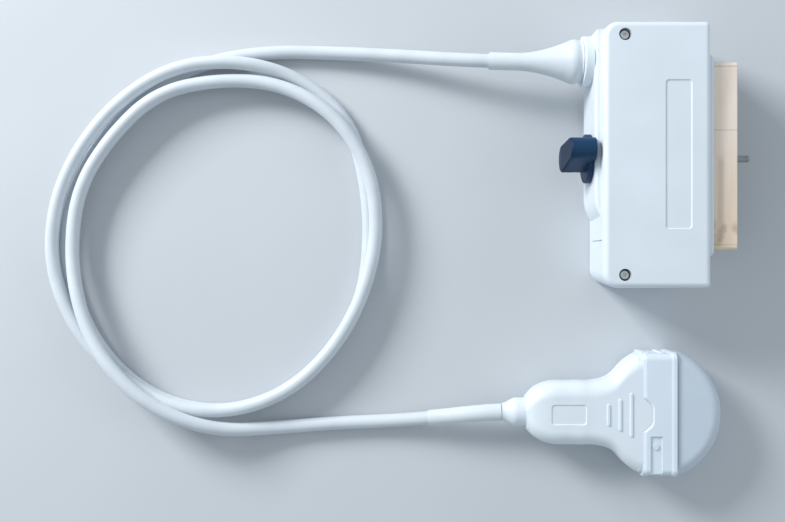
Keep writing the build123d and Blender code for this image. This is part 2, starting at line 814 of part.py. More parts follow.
def make_retaining_clip():
    """Open ring in the shaft's groove, against the rear bushing."""
    ring = rod_x(clip_radius, clip_place() + 0.05, clip_place() + clip_thick - 0.05, connector_y, connector_axis_z)
    ring -= rod_x(groove_radius + 0.02, clip_place() - 1, clip_place() + 2, connector_y, connector_axis_z)
    mouth = groove_radius * 0.75
    return ring - block(clip_place() - 1, clip_place() + 2, connector_y - mouth, connector_y + mouth,
                        connector_axis_z - clip_radius - 1, connector_axis_z)


def make_stop_collar():
    """Collar on the shaft with two lugs a quarter turn apart."""
    x0 = collar_place()
    x1 = x0 + collar_thick
    collar = rod_x(collar_radius, x0, x1, connector_y, connector_axis_z)
    collar += block(x0, x1, connector_y, connector_y + lug_radius, connector_axis_z - lug_width / 2,
                    connector_axis_z + lug_width / 2)
    collar += block(x0, x1, connector_y - lug_width / 2, connector_y + lug_width / 2, connector_axis_z,
                    connector_axis_z + lug_radius)
    return collar - rod_x(shaft_radius + 0.02, x0 - 1, x1 + 1, connector_y, connector_axis_z)


def make_cable():
    """Jacketed cable between connector and scanhead."""
    return tube(cable_path, cable_radius)


def handle_height_at(x):
    """Half height of the handle shell at a distance from its rear end."""
    for (x0, h0), (x1, h1) in zip(handle_rise, handle_rise[1:]):
        if x <= x1:
            return h0 + (h1 - h0) * (x - x0) / (x1 - x0)
    return min(handle_rise[-1][1] + (x - handle_rise[-1][0]) * 0.08, handle_half_height)


def handle_body(inset):
    """Smooth body through rounded sections along the handle's axis."""
    sections = []
    stretch = handle_length / handle_outline[-1][0]
    for distance, half in handle_outline:
        x = distance * stretch
        plane = Plane(origin=(handle_x + x, handle_y, axis_z), x_dir=(0, 1, 0), z_dir=(1, 0, 0))
        height = handle_height_at(x) - inset
        width = half - inset
        sections.append(plane * RectangleRounded(2 * width, 2 * height, min(shoulder, height, width) - 0.3))
    return loft(sections)


def handle_shells():
    """Both handle shells before they are parted: hollow, with cradle, bosses and joint."""
    body = handle_body(0)
    inside = handle_body(handle_wall) & block(handle_x + handle_wall, handle_x + 200, -200, 200, -50, 50)
    cradle_start = handle_x + cradle_x
    cradle = block(cradle_start, cradle_start + cradle_thick, handle_y - 50, handle_y + 50, -50, 50)
    cradle &= inside
    cradle -= rod_x(ferrule_radius + 0.03, handle_x, handle_x + 20, handle_y, axis_z)
    body -= inside
    body += cradle
    joint_outer = nose_inside(shell_fit)
    joint = joint_outer & block(nose_x - handle_wall, nose_x + spigot_length, -200, 200, -50, 50)
    core = handle_body(handle_wall) + nose_inside(shell_fit + spigot_thick)
    body += joint - core
    return body - rod_x(gland_neck + 0.05, handle_x - 1, handle_x + handle_wall + 1, handle_y, axis_z)


def tongue_outline(gap, z):
    """Plan outline of the top handle shell's tongue at a height, with a gap around it."""
    points = [(nose_x - 1, handle_y - tongue_base - gap), (nose_x, handle_y - tongue_base - gap),
              (nose_x + tongue_length + gap, handle_y - tongue_tip - gap),
              (nose_x + tongue_length + gap, handle_y + tongue_tip + gap),
              (nose_x, handle_y + tongue_base + gap), (nose_x - 1, handle_y + tongue_base + gap)]
    outline = make_face(Polyline(*points, close=True))
    return Pos(0, 0, z) * fillet(outline.vertices().sort_by(Axis.X)[-2:], tongue_round)


def top_half():
    """Space above the parting plane of the handle."""
    return block(-200, 200, -200, 200, axis_z, 100)


def head_board_posts():
    """Screw places of the handle's board."""
    xs = (handle_x + head_board_x + head_post_start, head_board_end_x - head_post_end)
    return [(x, handle_y + side * (head_board_half - head_post_inset)) for x in xs for side in (-1, 1)]


def head_board_low():
    """Underside of the handle's board."""
    return axis_z - board_thick / 2


def make_handle_top_shell():
    """Upper handle shell with label pocket, grip ribs and tongue."""
    shell = handle_shells() & top_half()
    top = axis_z + handle_half_height
    shell += extrude(tongue_outline(0, top - handle_wall), handle_wall)
    shell -= sunk_pocket(pocket_length, pocket_width, pocket_corner, handle_x + pocket_x + pocket_length / 2,
                         handle_y, top, pocket_depth)
    for place, length in zip(rib_places, rib_lengths):
        bar = Pos(nose_x - place, handle_y, top - 0.3) * SlotOverall(length, rib_width, rotation=90)
        rib = extrude(bar, rib_proud + 0.3)
        shell += fillet(rib.faces().sort_by(Axis.Z)[-1].edges(), rib_edge)
    return shell


def make_handle_bottom_shell():
    """Lower handle shell with the bosses of the board."""
    shell = handle_shells() - top_half()
    for x, y in head_board_posts():
        boss_low = axis_z - handle_half_height + handle_wall - 0.2
        shell += rod_z(head_boss_radius, x, y, boss_low, head_board_low())
        shell -= rod_z(screw_radius - 0.2, x, y, head_board_low() - 5, head_board_low())
    return shell


def nose_inside(inset):
    """Space inside the nose housing, pulled in by an inset."""
    return slab_x(2 * (nose_half - nose_wall - inset), nose_height - 2 * nose_wall - 2 * inset, nose_edge - 1.5,
                  nose_x - 10, lens_spigot_x, handle_y, axis_z)


def carrier_posts(low, high):
    """Posts of the nose housing that hold the array carrier."""
    posts = Part()
    for side in (-1, 1):
        posts += rod_z(post_radius, nose_x + post_start, handle_y + side * post_y, low, high)
    return posts


def make_nose_housing():
    """Nose housing with its rim, side ribs, marker pocket and marker dot."""
    nose = stepped_slab(2 * nose_half, nose_height, nose_edge,
                        [(nose_x, step_drop), (nose_x + step_length, 0), (nose_end_x, 0)], handle_y, axis_z)
    rim_x = nose_end_x - rim_width
    nose += stepped_slab(2 * rim_half, rim_height, nose_edge + rim_drop,
                         [(rim_x, rim_drop), (rim_x + rim_slope, 0), (nose_end_x - rim_edge, 0),
                          (nose_end_x, rim_edge)], handle_y, axis_z)
    rib_half = nose_height / 2 - rib_low
    for side in (-1, 1):
        y = handle_y + side * nose_half
        for start, width in ((0.0, bead_width), (mid_rib_start, mid_rib_width)):
            rib = block(nose_x + start, nose_x + start + width, y - side_rib_proud, y + side_rib_proud,
                        axis_z - rib_half, axis_z + rib_half)
            nose += chamfer(rib.faces().sort_by(Axis.Y)[-1 if side > 0 else 0].edges(), 0.3)
    top = axis_z + nose_height / 2
    pocket_start = nose_x + marker_pocket_start
    nose -= block(pocket_start, pocket_start + marker_pocket_width, handle_y - rim_half - 1,
                  handle_y + marker_pocket_edge, top - marker_pocket_depth, top + 2)
    nose += rod_z(dot_radius, nose_x + dot_start, handle_y + dot_y, top - marker_pocket_depth - 0.5,
                  top - marker_pocket_depth + dot_proud)
    nose -= nose_inside(0)
    nose -= slab_x(2 * lens_spigot_half + 2 * shell_fit, lens_spigot_height + 2 * shell_fit, 2.6, lens_spigot_x,
                   nose_end_x + 1, handle_y, axis_z)
    nose -= extrude(tongue_outline(shell_fit, top - nose_wall - 1), nose_wall + 2)
    nose -= loft([tongue_outline(shell_fit, top - step_drop),
                  tongue_outline(shell_fit + step_length, top + step_drop)],
                 ruled=True)
    nose += carrier_posts(axis_z - nose_height / 2 + 1, axis_z - array_half_height)
    nose += carrier_posts(axis_z + array_half_height, axis_z + nose_height / 2 - nose_wall + 0.2)
    return nose


def disc_of_array(radius, half_height, edge):
    """Round disc about the centre of the lens, with a rounded rim."""
    disc = rod_z(radius, lens_centre_x, handle_y, axis_z - half_height, axis_z + half_height)
    if edge > 0:
        disc = fillet(disc.edges().filter_by(GeomType.CIRCLE), edge)
    return disc


def array_wedge():
    """Fan-shaped space in front of the lens's centre that the array fills."""
    x = lens_centre_x
    reach = 2 * lens_radius
    side = reach * tan(radians(array_half_angle))
    points = [(x, handle_y), (x + reach, handle_y - side), (x + reach, handle_y + side)]
    return extrude(make_face(Polyline(*points, close=True)), 60)


def array_layer(outer, inner):
    """Curved layer of the array between two radii."""
    ring = disc_of_array(outer, array_half_height, 0) - disc_of_array(inner, array_half_height + 1, 0)
    return ring & array_wedge()


def make_acoustic_lens():
    """Soft lens over the array, with a skirt inside the nose housing."""
    start = nose_x + lens_start
    end = lens_centre_x + 2 * lens_radius
    lens = disc_of_array(lens_radius, lens_height / 2, lens_round)
    lens &= block(start, end, handle_y - lens_half, handle_y + lens_half, -50, 100)
    sides = [lens.faces().sort_by(Axis.Y)[0], lens.faces().sort_by(Axis.Y)[-1]]
    lens = fillet([e for face in sides for e in face.edges() if e.center().X > start + 0.1], lens_side_edge)
    lens += slab_x(2 * lens_spigot_half, lens_spigot_height, 2.5, lens_spigot_x, start + 0.5, handle_y, axis_z)
    cavity = disc_of_array(lens_radius - lens_wall, cavity_half, cavity_edge)
    cavity &= block(lens_spigot_x - 1, end, handle_y - lens_spigot_half + lens_wall,
                    handle_y + lens_spigot_half - lens_wall, -50, 100)
    return lens - cavity


def make_matching_layer():
    """Acoustic matching layer under the lens."""
    return array_layer(array_radius, array_radius - layer_thick)


def make_piezo_array():
    """Curved row of piezo elements, as one sheet."""
    outer = array_radius - layer_thick
    return array_layer(outer, outer - array_thick)


def make_backing_block():
    """Sound-absorbing backing behind the elements."""
    return array_layer(carrier_radius + backing_thick, carrier_radius)


def make_array_carrier():
    """Metal block that carries the array and its backing."""
    carrier = disc_of_array(carrier_radius, array_half_height, 0)
    return carrier & block(nose_x + carrier_start, lens_centre_x + lens_radius, -200, 200, -50, 100)


def make_flex_circuit(side):
    """Flexible circuit from the array's edge down to the handle's board."""
    far = lens_centre_x + carrier_radius + backing_thick
    array_level = array_half_height
    board_level = board_thick / 2
    line = [(head_board_end_x - flex_overlap, board_level), (head_board_end_x, board_level),
            (nose_x + carrier_start - flex_run_in, array_level), (far, array_level)]
    back = [(x, level + flex_thick) for x, level in reversed(line)]
    face = make_face(Polyline(*[(x, axis_z + side * level) for x, level in line + back], close=True))
    strip = extrude(Plane.XZ * face, flex_half_width, both=True)
    trim = disc_of_array(carrier_radius + backing_thick, 20, 0)
    trim += block(handle_x, lens_centre_x, -200, 200, -50, 100)
    return Pos(0, handle_y, 0) * strip & trim


def make_handle_board():
    """Circuit board in the handle."""
    x0 = handle_x + head_board_x
    board = block(x0, x0 + head_board_length, handle_y - head_board_half, handle_y + head_board_half,
                  head_board_low(), head_board_low() + board_thick)
    for x, y in head_board_posts():
        board -= rod_z(screw_radius + 0.1, x, y, 0, 50)
    return board


def make_handle_terminal():
    """Header on the handle's board where the cable's cores end."""
    x0 = handle_x + head_board_x + 1
    top = axis_z + board_thick / 2
    return block(x0, x0 + terminal_length, handle_y - terminal_half, handle_y + terminal_half,
                 top, top + terminal_height)


def make_handle_cores():
    """Bundle of cores from the cable's end to the handle's board."""
    x0 = cable_route[-1][0] + 0.06
    x1 = handle_x + head_board_x + 1
    z = axis_z + board_thick / 2 + core_radius + 0.05
    points = [(x0, handle_y, axis_z), (x0 + 2.5, handle_y, axis_z), (x1 - 3.4, handle_y, z),
              (x1, handle_y, z)]
    return tube(FilletPolyline(*points, radius=3.2), core_radius)


def make_cable_ferrule():
    """Crimped ring on the cable's end in the handle."""
    x0 = handle_x + cradle_x - 0.4
    ring = rod_x(ferrule_radius, x0, x0 + ferrule_length, handle_y, axis_z)
    return ring - scanhead_lead_bore


def make_cable_gland():
    """Bell-shaped gland behind the handle, its flare half a wave of a cosine."""
    steps = 12
    profile = []
    for step in range(steps + 1):
        swell = (1 - cos(pi * step / steps)) / 2
        profile.append((-gland_length + (gland_length - gland_flare) * step / steps,
                        gland_mouth + (gland_radius - gland_mouth) * swell))
    profile += [(0, gland_radius), (0, gland_neck), (handle_wall + 0.05, gland_neck),
                (handle_wall + 0.05, gland_collar), (cradle_x - 0.5, gland_collar)]
    bell = turned([(handle_x + x, radius) for x, radius in profile], handle_y, axis_z)
    return bell - scanhead_lead_bore


def make_handle_boot():
    """Sleeve that follows the cable out of the gland."""
    start = handle_x - gland_length - boot_gap
    offset = cable_route[-1][0] - start
    steps = 6
    profile = []
    for step in range(steps + 1):
        share = step / steps
        radius = head_boot_thick_end + (head_boot_thin_end - head_boot_thick_end) * share
        profile.append((share * head_boot_length, radius))
    return tapered_along(scanhead_lead, offset, profile) - scanhead_lead_bore


parts = {
    "handle_top_shell": make_handle_top_shell(),
    "handle_bottom_shell": make_handle_bottom_shell(),
    "nose_housing": make_nose_housing(),
    "acoustic_lens": make_acoustic_lens(),
    "matching_layer": make_matching_layer(),
    "piezo_array": make_piezo_array(),
    "backing_block": make_backing_block(),
    "array_carrier": make_array_carrier(),
    "flex_circuit_upper": make_flex_circuit(1),
    "flex_circuit_lower": make_flex_circuit(-1),
    "handle_board": make_handle_board(),
    "handle_terminal": make_handle_terminal(),
    "handle_cores": make_handle_cores(),
    "cable_ferrule": make_cable_ferrule(),
    "cable_gland": make_cable_gland(),
    "handle_boot": make_handle_boot(),
    "cable": make_cable(),
    "connector_boot": make_connector_boot(),
    "boot_flange": make_boot_flange(),
    "bottom_cover": make_bottom_cover(),
    "top_cover": make_top_cover(),
    "cover_screw_upper": make_cover_screw(1),
    "cover_screw_lower": make_cover_screw(-1),
    "front_bezel": make_front_bezel(),
    "connector_shell": make_connector_shell(),
    "contact_block": make_contact_block(),
    "contact_blades": make_contacts(),
    "contact_board": make_contact_board(),
    "connector_board": make_connector_board(),
    "board_chips": make_board_chips(),
    "board_link": make_board_link(),
    "core_terminal": make_core_terminal(),
    "connector_cores": make_connector_cores(),
    "cable_clamp": make_cable_clamp(),
    "clamp_screw_upper": make_clamp_screw(1),
    "clamp_screw_lower": make_clamp_screw(-1),
    "lock_lever": make_lock_lever(),
    "lever_shaft": make_lever_shaft(),
    "lever_pin": make_lever_pin(),
    "rear_bushing": make_rear_bushing(),
    "front_bushing": make_front_bushing(),
    "retaining_clip": make_retaining_clip(),
    "stop_collar": make_stop_collar(),
}
for number, (screw_at_x, screw_at_y) in enumerate(board_corners(), start=1):
    parts[f"board_screw_{number}"] = make_board_screw(screw_at_x, screw_at_y)

os.makedirs("parts", exist_ok=True)
for name, shape in parts.items():
    export_step(shape, f"parts/{name}.step")

print("cable bend radii", [round(radius) for radius in route_radii(cable_route)])
print("cable length", round(cable_path.length, 1))
print("cable volume", round(parts["cable"].volume), "of", round(cable_path.length * pi * cable_radius**2))
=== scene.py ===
"""Looks of an ultrasound transducer probe: convex scanhead, loose cable and flat system connector."""
import json

import bpy
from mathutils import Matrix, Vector


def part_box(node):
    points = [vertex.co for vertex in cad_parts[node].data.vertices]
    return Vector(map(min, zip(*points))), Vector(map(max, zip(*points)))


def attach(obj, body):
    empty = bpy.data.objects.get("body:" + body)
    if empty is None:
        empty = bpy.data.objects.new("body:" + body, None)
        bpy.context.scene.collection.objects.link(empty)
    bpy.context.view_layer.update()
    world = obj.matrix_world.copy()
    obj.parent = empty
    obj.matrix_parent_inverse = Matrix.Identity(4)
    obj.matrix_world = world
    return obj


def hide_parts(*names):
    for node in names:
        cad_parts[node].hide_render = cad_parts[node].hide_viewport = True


MM = 0.001

# Photograph: its width in pixels, the scale on the floor, and the camera's place and height
IMAGE_WIDTH = 785
FLOOR_SCALE = 0.62 * MM
CAMERA_PLACE = (-116.85 * MM, -4.2 * MM)
CAMERA_HEIGHT = 0.6
SENSOR_WIDTH = 36.0
NEAREST_SEEN = 0.01

# Square lights: place, side, power and colour; then the surroundings and the floor's side
KEY_LIGHT = ((-1.15, 0.85, 0.66), 0.5, 25.0, (0.96, 0.99, 1.0))
FILL_LIGHT = ((1.25, 0.15, 0.8), 0.9, 3.5, (0.93, 0.96, 1.0))
LIGHT_TARGET = (*CAMERA_PLACE, 0.0)
SURROUNDINGS_COLOR = (0.80, 0.92, 1.0)
SURROUNDINGS_STRENGTH = 0.51
FLOOR_SIDE = 8.0

# Cable: its thickness, and its route in millimetres as in the part
CABLE_DIAMETER = 8.2
CABLE_ROUTE = [
    (34.0, 114.0, 25.0), (-3.0, 114.0, 25.0), (-41.0, 114.2, 24.0), (-78.0, 116.8, 18.0),
    (-115.5, 121.0, 9.5), (-153.5, 123.6, 5.0), (-192.0, 124.6, 4.2), (-230.0, 118.8, 4.2),
    (-265.5, 102.5, 4.2), (-293.5, 74.5, 4.2), (-313.0, 41.0, 4.2), (-320.5, 3.0, 4.2),
    (-310.5, -34.0, 4.2), (-291.0, -67.0, 4.2), (-260.5, -90.5, 4.2), (-222.5, -98.0, 4.2),
    (-185.5, -87.5, 4.2), (-156.5, -63.0, 4.2), (-136.0, -30.5, 4.2), (-130.5, 7.5, 4.2),
    (-133.0, 45.0, 4.2), (-143.5, 83.0, 4.4), (-172.5, 108.0, 5.0), (-208.5, 117.5, 12.7),
    (-247.5, 115.0, 12.8), (-281.0, 95.5, 12.8), (-306.5, 66.0, 12.8), (-322.5, 31.5, 11.3),
    (-325.0, -7.0, 11.2), (-311.5, -42.5, 12.0), (-286.5, -72.5, 12.8), (-253.5, -93.0, 12.8),
    (-215.0, -96.4, 12.5), (-179.0, -83.5, 12.8), (-151.5, -56.5, 12.8), (-133.5, -23.0, 12.8),
    (-125.5, 14.5, 12.8), (-130.5, 52.5, 12.7), (-151.5, 85.0, 13.2), (-185.0, 104.0, 11.0),
    (-223.0, 106.5, 10.4), (-260.0, 98.0, 13.2), (-287.5, 72.0, 12.8), (-307.5, 41.0, 12.0),
    (-313.0, 3.0, 11.0), (-306.0, -34.5, 16.6), (-288.0, -67.5, 22.4), (-259.5, -93.0, 22.4),
    (-224.5, -107.0, 15.4), (-187.5, -106.5, 5.0), (-152.0, -103.8, 4.2), (-122.0, -102.6, 4.6),
    (-92.0, -99.8, 9.2), (-59.0, -95.7, 13.9), (-27.15, -95.4, 14.2),
]

# Marks on the metal shell in millimetres: middle, reach and fade of a band, and creases with a strength of
# their painted shade
CREASE_SHADES = ((71.2, 0.45), (107.9, 0.5), (5.2, 0.55))
CREASE_SHADE_REACH = 0.12
CREASE_SHADE_FADE = 0.3
STAINS_ALONG = (10.0, 3.0, 8.0)
STREAK_ACROSS = (72.2, 0.8, 2.0)
STREAK_ALONG = (34.0, 18.0, 6.0)
WORN_FROM = 85.0
WORN_AMOUNT = 0.65

# Painted shade in the screw wells of the cover, and the lever's darker grip end, also painted shade, in
# millimetres
WELL_SHADE_REACH = 3.3
WELL_SHADE_FADE = 0.3
GRIP_SHADE_START = -12.8
GRIP_SHADE_END = -14.8
GRIP_SHADE_AMOUNT = 0.8

# Depth of fine surface grain in millimetres
FINE_GRAIN = 0.03

# Off-white of the housings, with a painted blue cast that stands in for bluish reflected light
SHELL_COLOR = (0.765, 0.82, 0.875)
BLACK = (0, 0, 0)
WHITE = (1, 1, 1)

# Colour sockets of a Mix node: the colour below, the one laid over it, and the result
MIX_UNDER = 6
MIX_OVER = 7
MIX_RESULT = 2

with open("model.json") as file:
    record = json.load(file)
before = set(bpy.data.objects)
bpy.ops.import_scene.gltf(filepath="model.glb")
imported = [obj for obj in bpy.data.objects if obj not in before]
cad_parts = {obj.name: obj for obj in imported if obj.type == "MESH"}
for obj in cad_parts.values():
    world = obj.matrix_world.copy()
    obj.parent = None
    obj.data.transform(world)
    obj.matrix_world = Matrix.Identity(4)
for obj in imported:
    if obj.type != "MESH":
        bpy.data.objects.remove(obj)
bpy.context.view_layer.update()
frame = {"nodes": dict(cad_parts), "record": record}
nodes = frame["nodes"]


def new_material(name, color, roughness, **sockets):
    """Material with one Principled shader and its plain values set on the shader itself."""
    material = bpy.data.materials.new(name)
    material.use_nodes = True
    shader = material.node_tree.nodes["Principled BSDF"]
    shader.inputs["Base Color"].default_value = (*color, 1.0)
    shader.inputs["Roughness"].default_value = roughness
    for socket, value in sockets.items():
        shader.inputs[socket.replace("_", " ")].default_value = value
    return material, material.node_tree, shader


def object_coordinates(tree, stretch=(1, 1, 1)):
    """Coordinates in the object's own metres, stretched along each axis."""
    place = tree.nodes.new("ShaderNodeTexCoord")
    mapping = tree.nodes.new("ShaderNodeMapping")
    mapping.inputs["Scale"].default_value = stretch
    tree.links.new(place.outputs["Object"], mapping.inputs["Vector"])
    return mapping.outputs["Vector"]


def coordinate_values(tree):
    """The object's own X, Y and Z as values in metres."""
    place = tree.nodes.new("ShaderNodeSeparateXYZ")
    tree.links.new(object_coordinates(tree), place.inputs["Vector"])
    return place.outputs


def noise(tree, per_metre, detail, stretch=(1, 1, 1)):
    """Noise value with so many features per metre."""
    texture = tree.nodes.new("ShaderNodeTexNoise")
    texture.inputs["Scale"].default_value = per_metre
    texture.inputs["Detail"].default_value = detail
    tree.links.new(object_coordinates(tree, stretch), texture.inputs["Vector"])
    return texture.outputs["Fac"]


def ramp(tree, value, stops):
    """Colour ramp over a value, from pairs of position and colour."""
    node = tree.nodes.new("ShaderNodeValToRGB")
    elements = node.color_ramp.elements
    while len(elements) < len(stops):
        elements.new(0.5)
    for element, (position, color) in zip(elements, stops):
        element.position = position
        element.color = (*color, 1.0)
    tree.links.new(value, node.inputs["Fac"])
    return node.outputs["Color"]


def map_range(tree, value, start, end, low, high):
    """Value that runs from low to high while another runs from start to end."""
    node = tree.nodes.new("ShaderNodeMapRange")
    node.inputs["From Min"].default_value = start
    node.inputs["From Max"].default_value = end
    node.inputs["To Min"].default_value = low
    node.inputs["To Max"].default_value = high
    tree.links.new(value, node.inputs["Value"])
    return node.outputs["Result"]


def arithmetic(tree, operation, first, *others):
    """Math node over sockets and plain numbers."""
    node = tree.nodes.new("ShaderNodeMath")
    node.operation = operation
    for number, value in enumerate((first, *others)):
        if isinstance(value, float):
            node.inputs[number].default_value = value
        else:
            tree.links.new(value, node.inputs[number])
    return node.outputs["Value"]


def product(tree, first, second):
    """Product of two values."""
    return arithmetic(tree, "MULTIPLY", first, second)


def band(tree, value, middle, reach, fade):
    """1 within a reach of a middle value in millimetres, falling to 0 over a fade."""
    away = arithmetic(tree, "ABSOLUTE", arithmetic(tree, "SUBTRACT", value, middle * MM))
    return map_range(tree, away, reach * MM, (reach + fade) * MM, 1.0, 0.0)


def tinted(tree, amount, under, color):
    """Colour laid over another by an amount."""
    mix = tree.nodes.new("ShaderNodeMix")
    mix.data_type = "RGBA"
    tree.links.new(amount, mix.inputs["Factor"])
    tree.links.new(under, mix.inputs[MIX_UNDER])
    mix.inputs[MIX_OVER].default_value = (*color, 1.0)
    return mix.outputs[MIX_RESULT]


def colored(tree, shader, value, stops):
    """Gives the shader a colour ramp over a value."""
    tree.links.new(ramp(tree, value, stops), shader.inputs["Base Color"])


def glossed(tree, shader, value, low, high):
    """Gives the shader a roughness between two limits over a value from 0 to 1."""
    tree.links.new(map_range(tree, value, 0.0, 1.0, low, high), shader.inputs["Roughness"])


def bump(tree, shader, height, depth, strength):
    """Small relief on the shader, from a height value and a depth in millimetres."""
    node = tree.nodes.new("ShaderNodeBump")
    node.inputs["Distance"].default_value = depth * MM
    node.inputs["Strength"].default_value = strength
    tree.links.new(height, node.inputs["Height"])
    tree.links.new(node.outputs["Normal"], shader.inputs["Normal"])


def overlay(material, amount, color):
    """Colour laid over a finished material's own colour by an amount."""
    tree = material.node_tree
    base = tree.nodes["Principled BSDF"].inputs["Base Color"]
    tree.links.new(tinted(tree, amount, base.links[0].from_socket, color), base)


def moulded(name, color, roughness, tone=0.03, specular=0.5):
    """Satin moulded plastic: slight clouds of tone, uneven gloss and a fine spark-eroded grain."""
    material, tree, shader = new_material(name, color, roughness, Specular_IOR_Level=specular)
    darker = tuple(channel * (1 - tone) for channel in color)
    lighter = tuple(min(channel * (1 + tone), 1.0) for channel in color)
    colored(tree, shader, noise(tree, per_metre=28.0, detail=4.0), [(0.3, darker), (0.7, lighter)])
    glossed(tree, shader, noise(tree, per_metre=55.0, detail=5.0), roughness - 0.06, roughness + 0.06)
    bump(tree, shader, noise(tree, per_metre=2600.0, detail=1.0), FINE_GRAIN, strength=0.5)
    return material


def cover_plastic():
    """Plastic of the connector's cover, with painted shade in its two screw wells."""
    material = moulded("cover", SHELL_COLOR, 0.38)
    tree = material.node_tree
    places = coordinate_values(tree)
    for screw in ("cover_screw_upper", "cover_screw_lower"):
        low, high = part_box(screw)
        squares = []
        for axis, name in enumerate("XY"):
            away = arithmetic(tree, "SUBTRACT", places[name], (low[axis] + high[axis]) / 2)
            squares.append(product(tree, away, away))
        from_screw = arithmetic(tree, "SQRT", arithmetic(tree, "ADD", *squares))
        # Painted shade: darkens the cover within reach of each screw's axis, where the wells lie in shade
        overlay(material, band(tree, from_screw, 0.0, WELL_SHADE_REACH, WELL_SHADE_FADE), (0.05, 0.055, 0.06))
    return material


def lever_plastic():
    """Dark slate plastic of the lever, its blue partly a painted reflection, with painted shade darkening
    the end of its grip.
    """
    material = moulded("dark_plastic", (0.010, 0.042, 0.098), 0.45, tone=0.12, specular=0.2)
    tree = material.node_tree
    # Painted shade: darkens the grip's end face and lower side, which lie in shade
    end = map_range(tree, coordinate_values(tree)["X"], GRIP_SHADE_START * MM, GRIP_SHADE_END * MM,
                    0.0, GRIP_SHADE_AMOUNT)
    overlay(material, end, (0.003, 0.012, 0.035))
    return material


def soft_rubber(name, color, roughness):
    """Soft rubber of the cable and its boots: faint dust, fine grain and a little sheen."""
    material, tree, shader = new_material(name, color, roughness, Sheen_Weight=0.15, Sheen_Roughness=0.5)
    dusty = tuple(channel * 0.94 for channel in color)
    colored(tree, shader, noise(tree, per_metre=60.0, detail=6.0), [(0.35, dusty), (0.6, color)])
    glossed(tree, shader, noise(tree, per_metre=90.0, detail=4.0), roughness - 0.07, roughness + 0.08)
    bump(tree, shader, noise(tree, per_metre=1800.0, detail=2.0), depth=0.04, strength=0.5)
    return material


def lens_rubber():
    """Smooth silicone lens: cool grey, slightly milky, with a faint haze of handling."""
    color = (0.575, 0.64, 0.725)
    haze = (0.60, 0.665, 0.745)
    material, tree, shader = new_material("lens", color, 0.38, Subsurface_Weight=0.08,
                                          Subsurface_Scale=0.002)
    colored(tree, shader, noise(tree, per_metre=35.0, detail=5.0), [(0.4, color), (0.7, haze)])
    glossed(tree, shader, noise(tree, per_metre=70.0, detail=5.0), 0.32, 0.46)
    bump(tree, shader, noise(tree, per_metre=500.0, detail=2.0), FINE_GRAIN, strength=0.3)
    return material


def plated_shell():
    """Pale champagne plating with drawing lines, painted shade in creases, a worn end, a rubbed streak and
    brown stains.
    """
    color = (0.94, 0.79, 0.68)
    material, tree, shader = new_material("shell_metal", color, 0.45, Metallic=0.05,
                                          Specular_IOR_Level=0.6)
    places = coordinate_values(tree)
    across, along = places["X"], places["Y"]
    lines = noise(tree, per_metre=60.0, detail=4.0, stretch=(3.0, 0.35, 3.0))
    surface = ramp(tree, lines, [(0.3, (0.88, 0.72, 0.60)), (0.5, color), (0.75, (0.99, 0.86, 0.75))])
    worn_end = map_range(tree, along, WORN_FROM * MM, 0.0, 0.0, WORN_AMOUNT)
    surface = tinted(tree, worn_end, surface, (0.84, 0.61, 0.42))
    patches = noise(tree, per_metre=95.0, detail=6.0, stretch=(1.0, 0.55, 1.0))
    stains = product(tree, band(tree, along, *STAINS_ALONG),
                     ramp(tree, patches, [(0.50, BLACK), (0.62, WHITE)]))
    surface = tinted(tree, product(tree, stains, 0.55), surface, (0.26, 0.17, 0.10))
    streak = product(tree, band(tree, across, *STREAK_ACROSS), band(tree, along, *STREAK_ALONG))
    surface = tinted(tree, product(tree, streak, 0.28), surface, (0.40, 0.28, 0.18))
    # Painted shade: dark lines where the shell is creased
    for middle, strength in CREASE_SHADES:
        crease_shade = product(tree, band(tree, along, middle, CREASE_SHADE_REACH, CREASE_SHADE_FADE),
                         map_range(tree, patches, 0.0, 1.0, 0.2, 1.0))
        surface = tinted(tree, product(tree, crease_shade, strength), surface, (0.16, 0.13, 0.10))
    tree.links.new(surface, shader.inputs["Base Color"])
    glossed(tree, shader, lines, 0.36, 0.54)
    scratches = noise(tree, per_metre=900.0, detail=2.0, stretch=(1.0, 0.08, 1.0))
    bump(tree, shader, scratches, FINE_GRAIN, strength=0.35)
    return material


def turned_steel(name, color, roughness):
    """Plain machined metal with fine tool lines and dull patches."""
    material, tree, shader = new_material(name, color, roughness, Metallic=1.0)
    dull = tuple(channel * 0.82 for channel in color)
    colored(tree, shader, noise(tree, per_metre=240.0, detail=4.0), [(0.3, dull), (0.65, color)])
    glossed(tree, shader, noise(tree, per_metre=500.0, detail=3.0), roughness - 0.08, roughness + 0.1)
    tool_lines = noise(tree, per_metre=2500.0, detail=1.0, stretch=(1.0, 0.2, 1.0))
    bump(tree, shader, tool_lines, depth=0.02, strength=0.3)
    return material


def circuit_board():
    """Green solder mask with faint tracks."""
    material, tree, shader = new_material("board", (0.02, 0.16, 0.07), 0.3, Coat_Weight=0.3)
    tracks = tree.nodes.new("ShaderNodeTexBrick")
    tracks.inputs["Color1"].default_value = (0.018, 0.15, 0.065, 1)
    tracks.inputs["Color2"].default_value = (0.02, 0.17, 0.075, 1)
    tracks.inputs["Mortar"].default_value = (0.03, 0.24, 0.10, 1)
    tracks.inputs["Scale"].default_value = 120.0
    tracks.inputs["Mortar Size"].default_value = 0.03
    tree.links.new(object_coordinates(tree), tracks.inputs["Vector"])
    tree.links.new(tracks.outputs["Color"], shader.inputs["Base Color"])
    return material


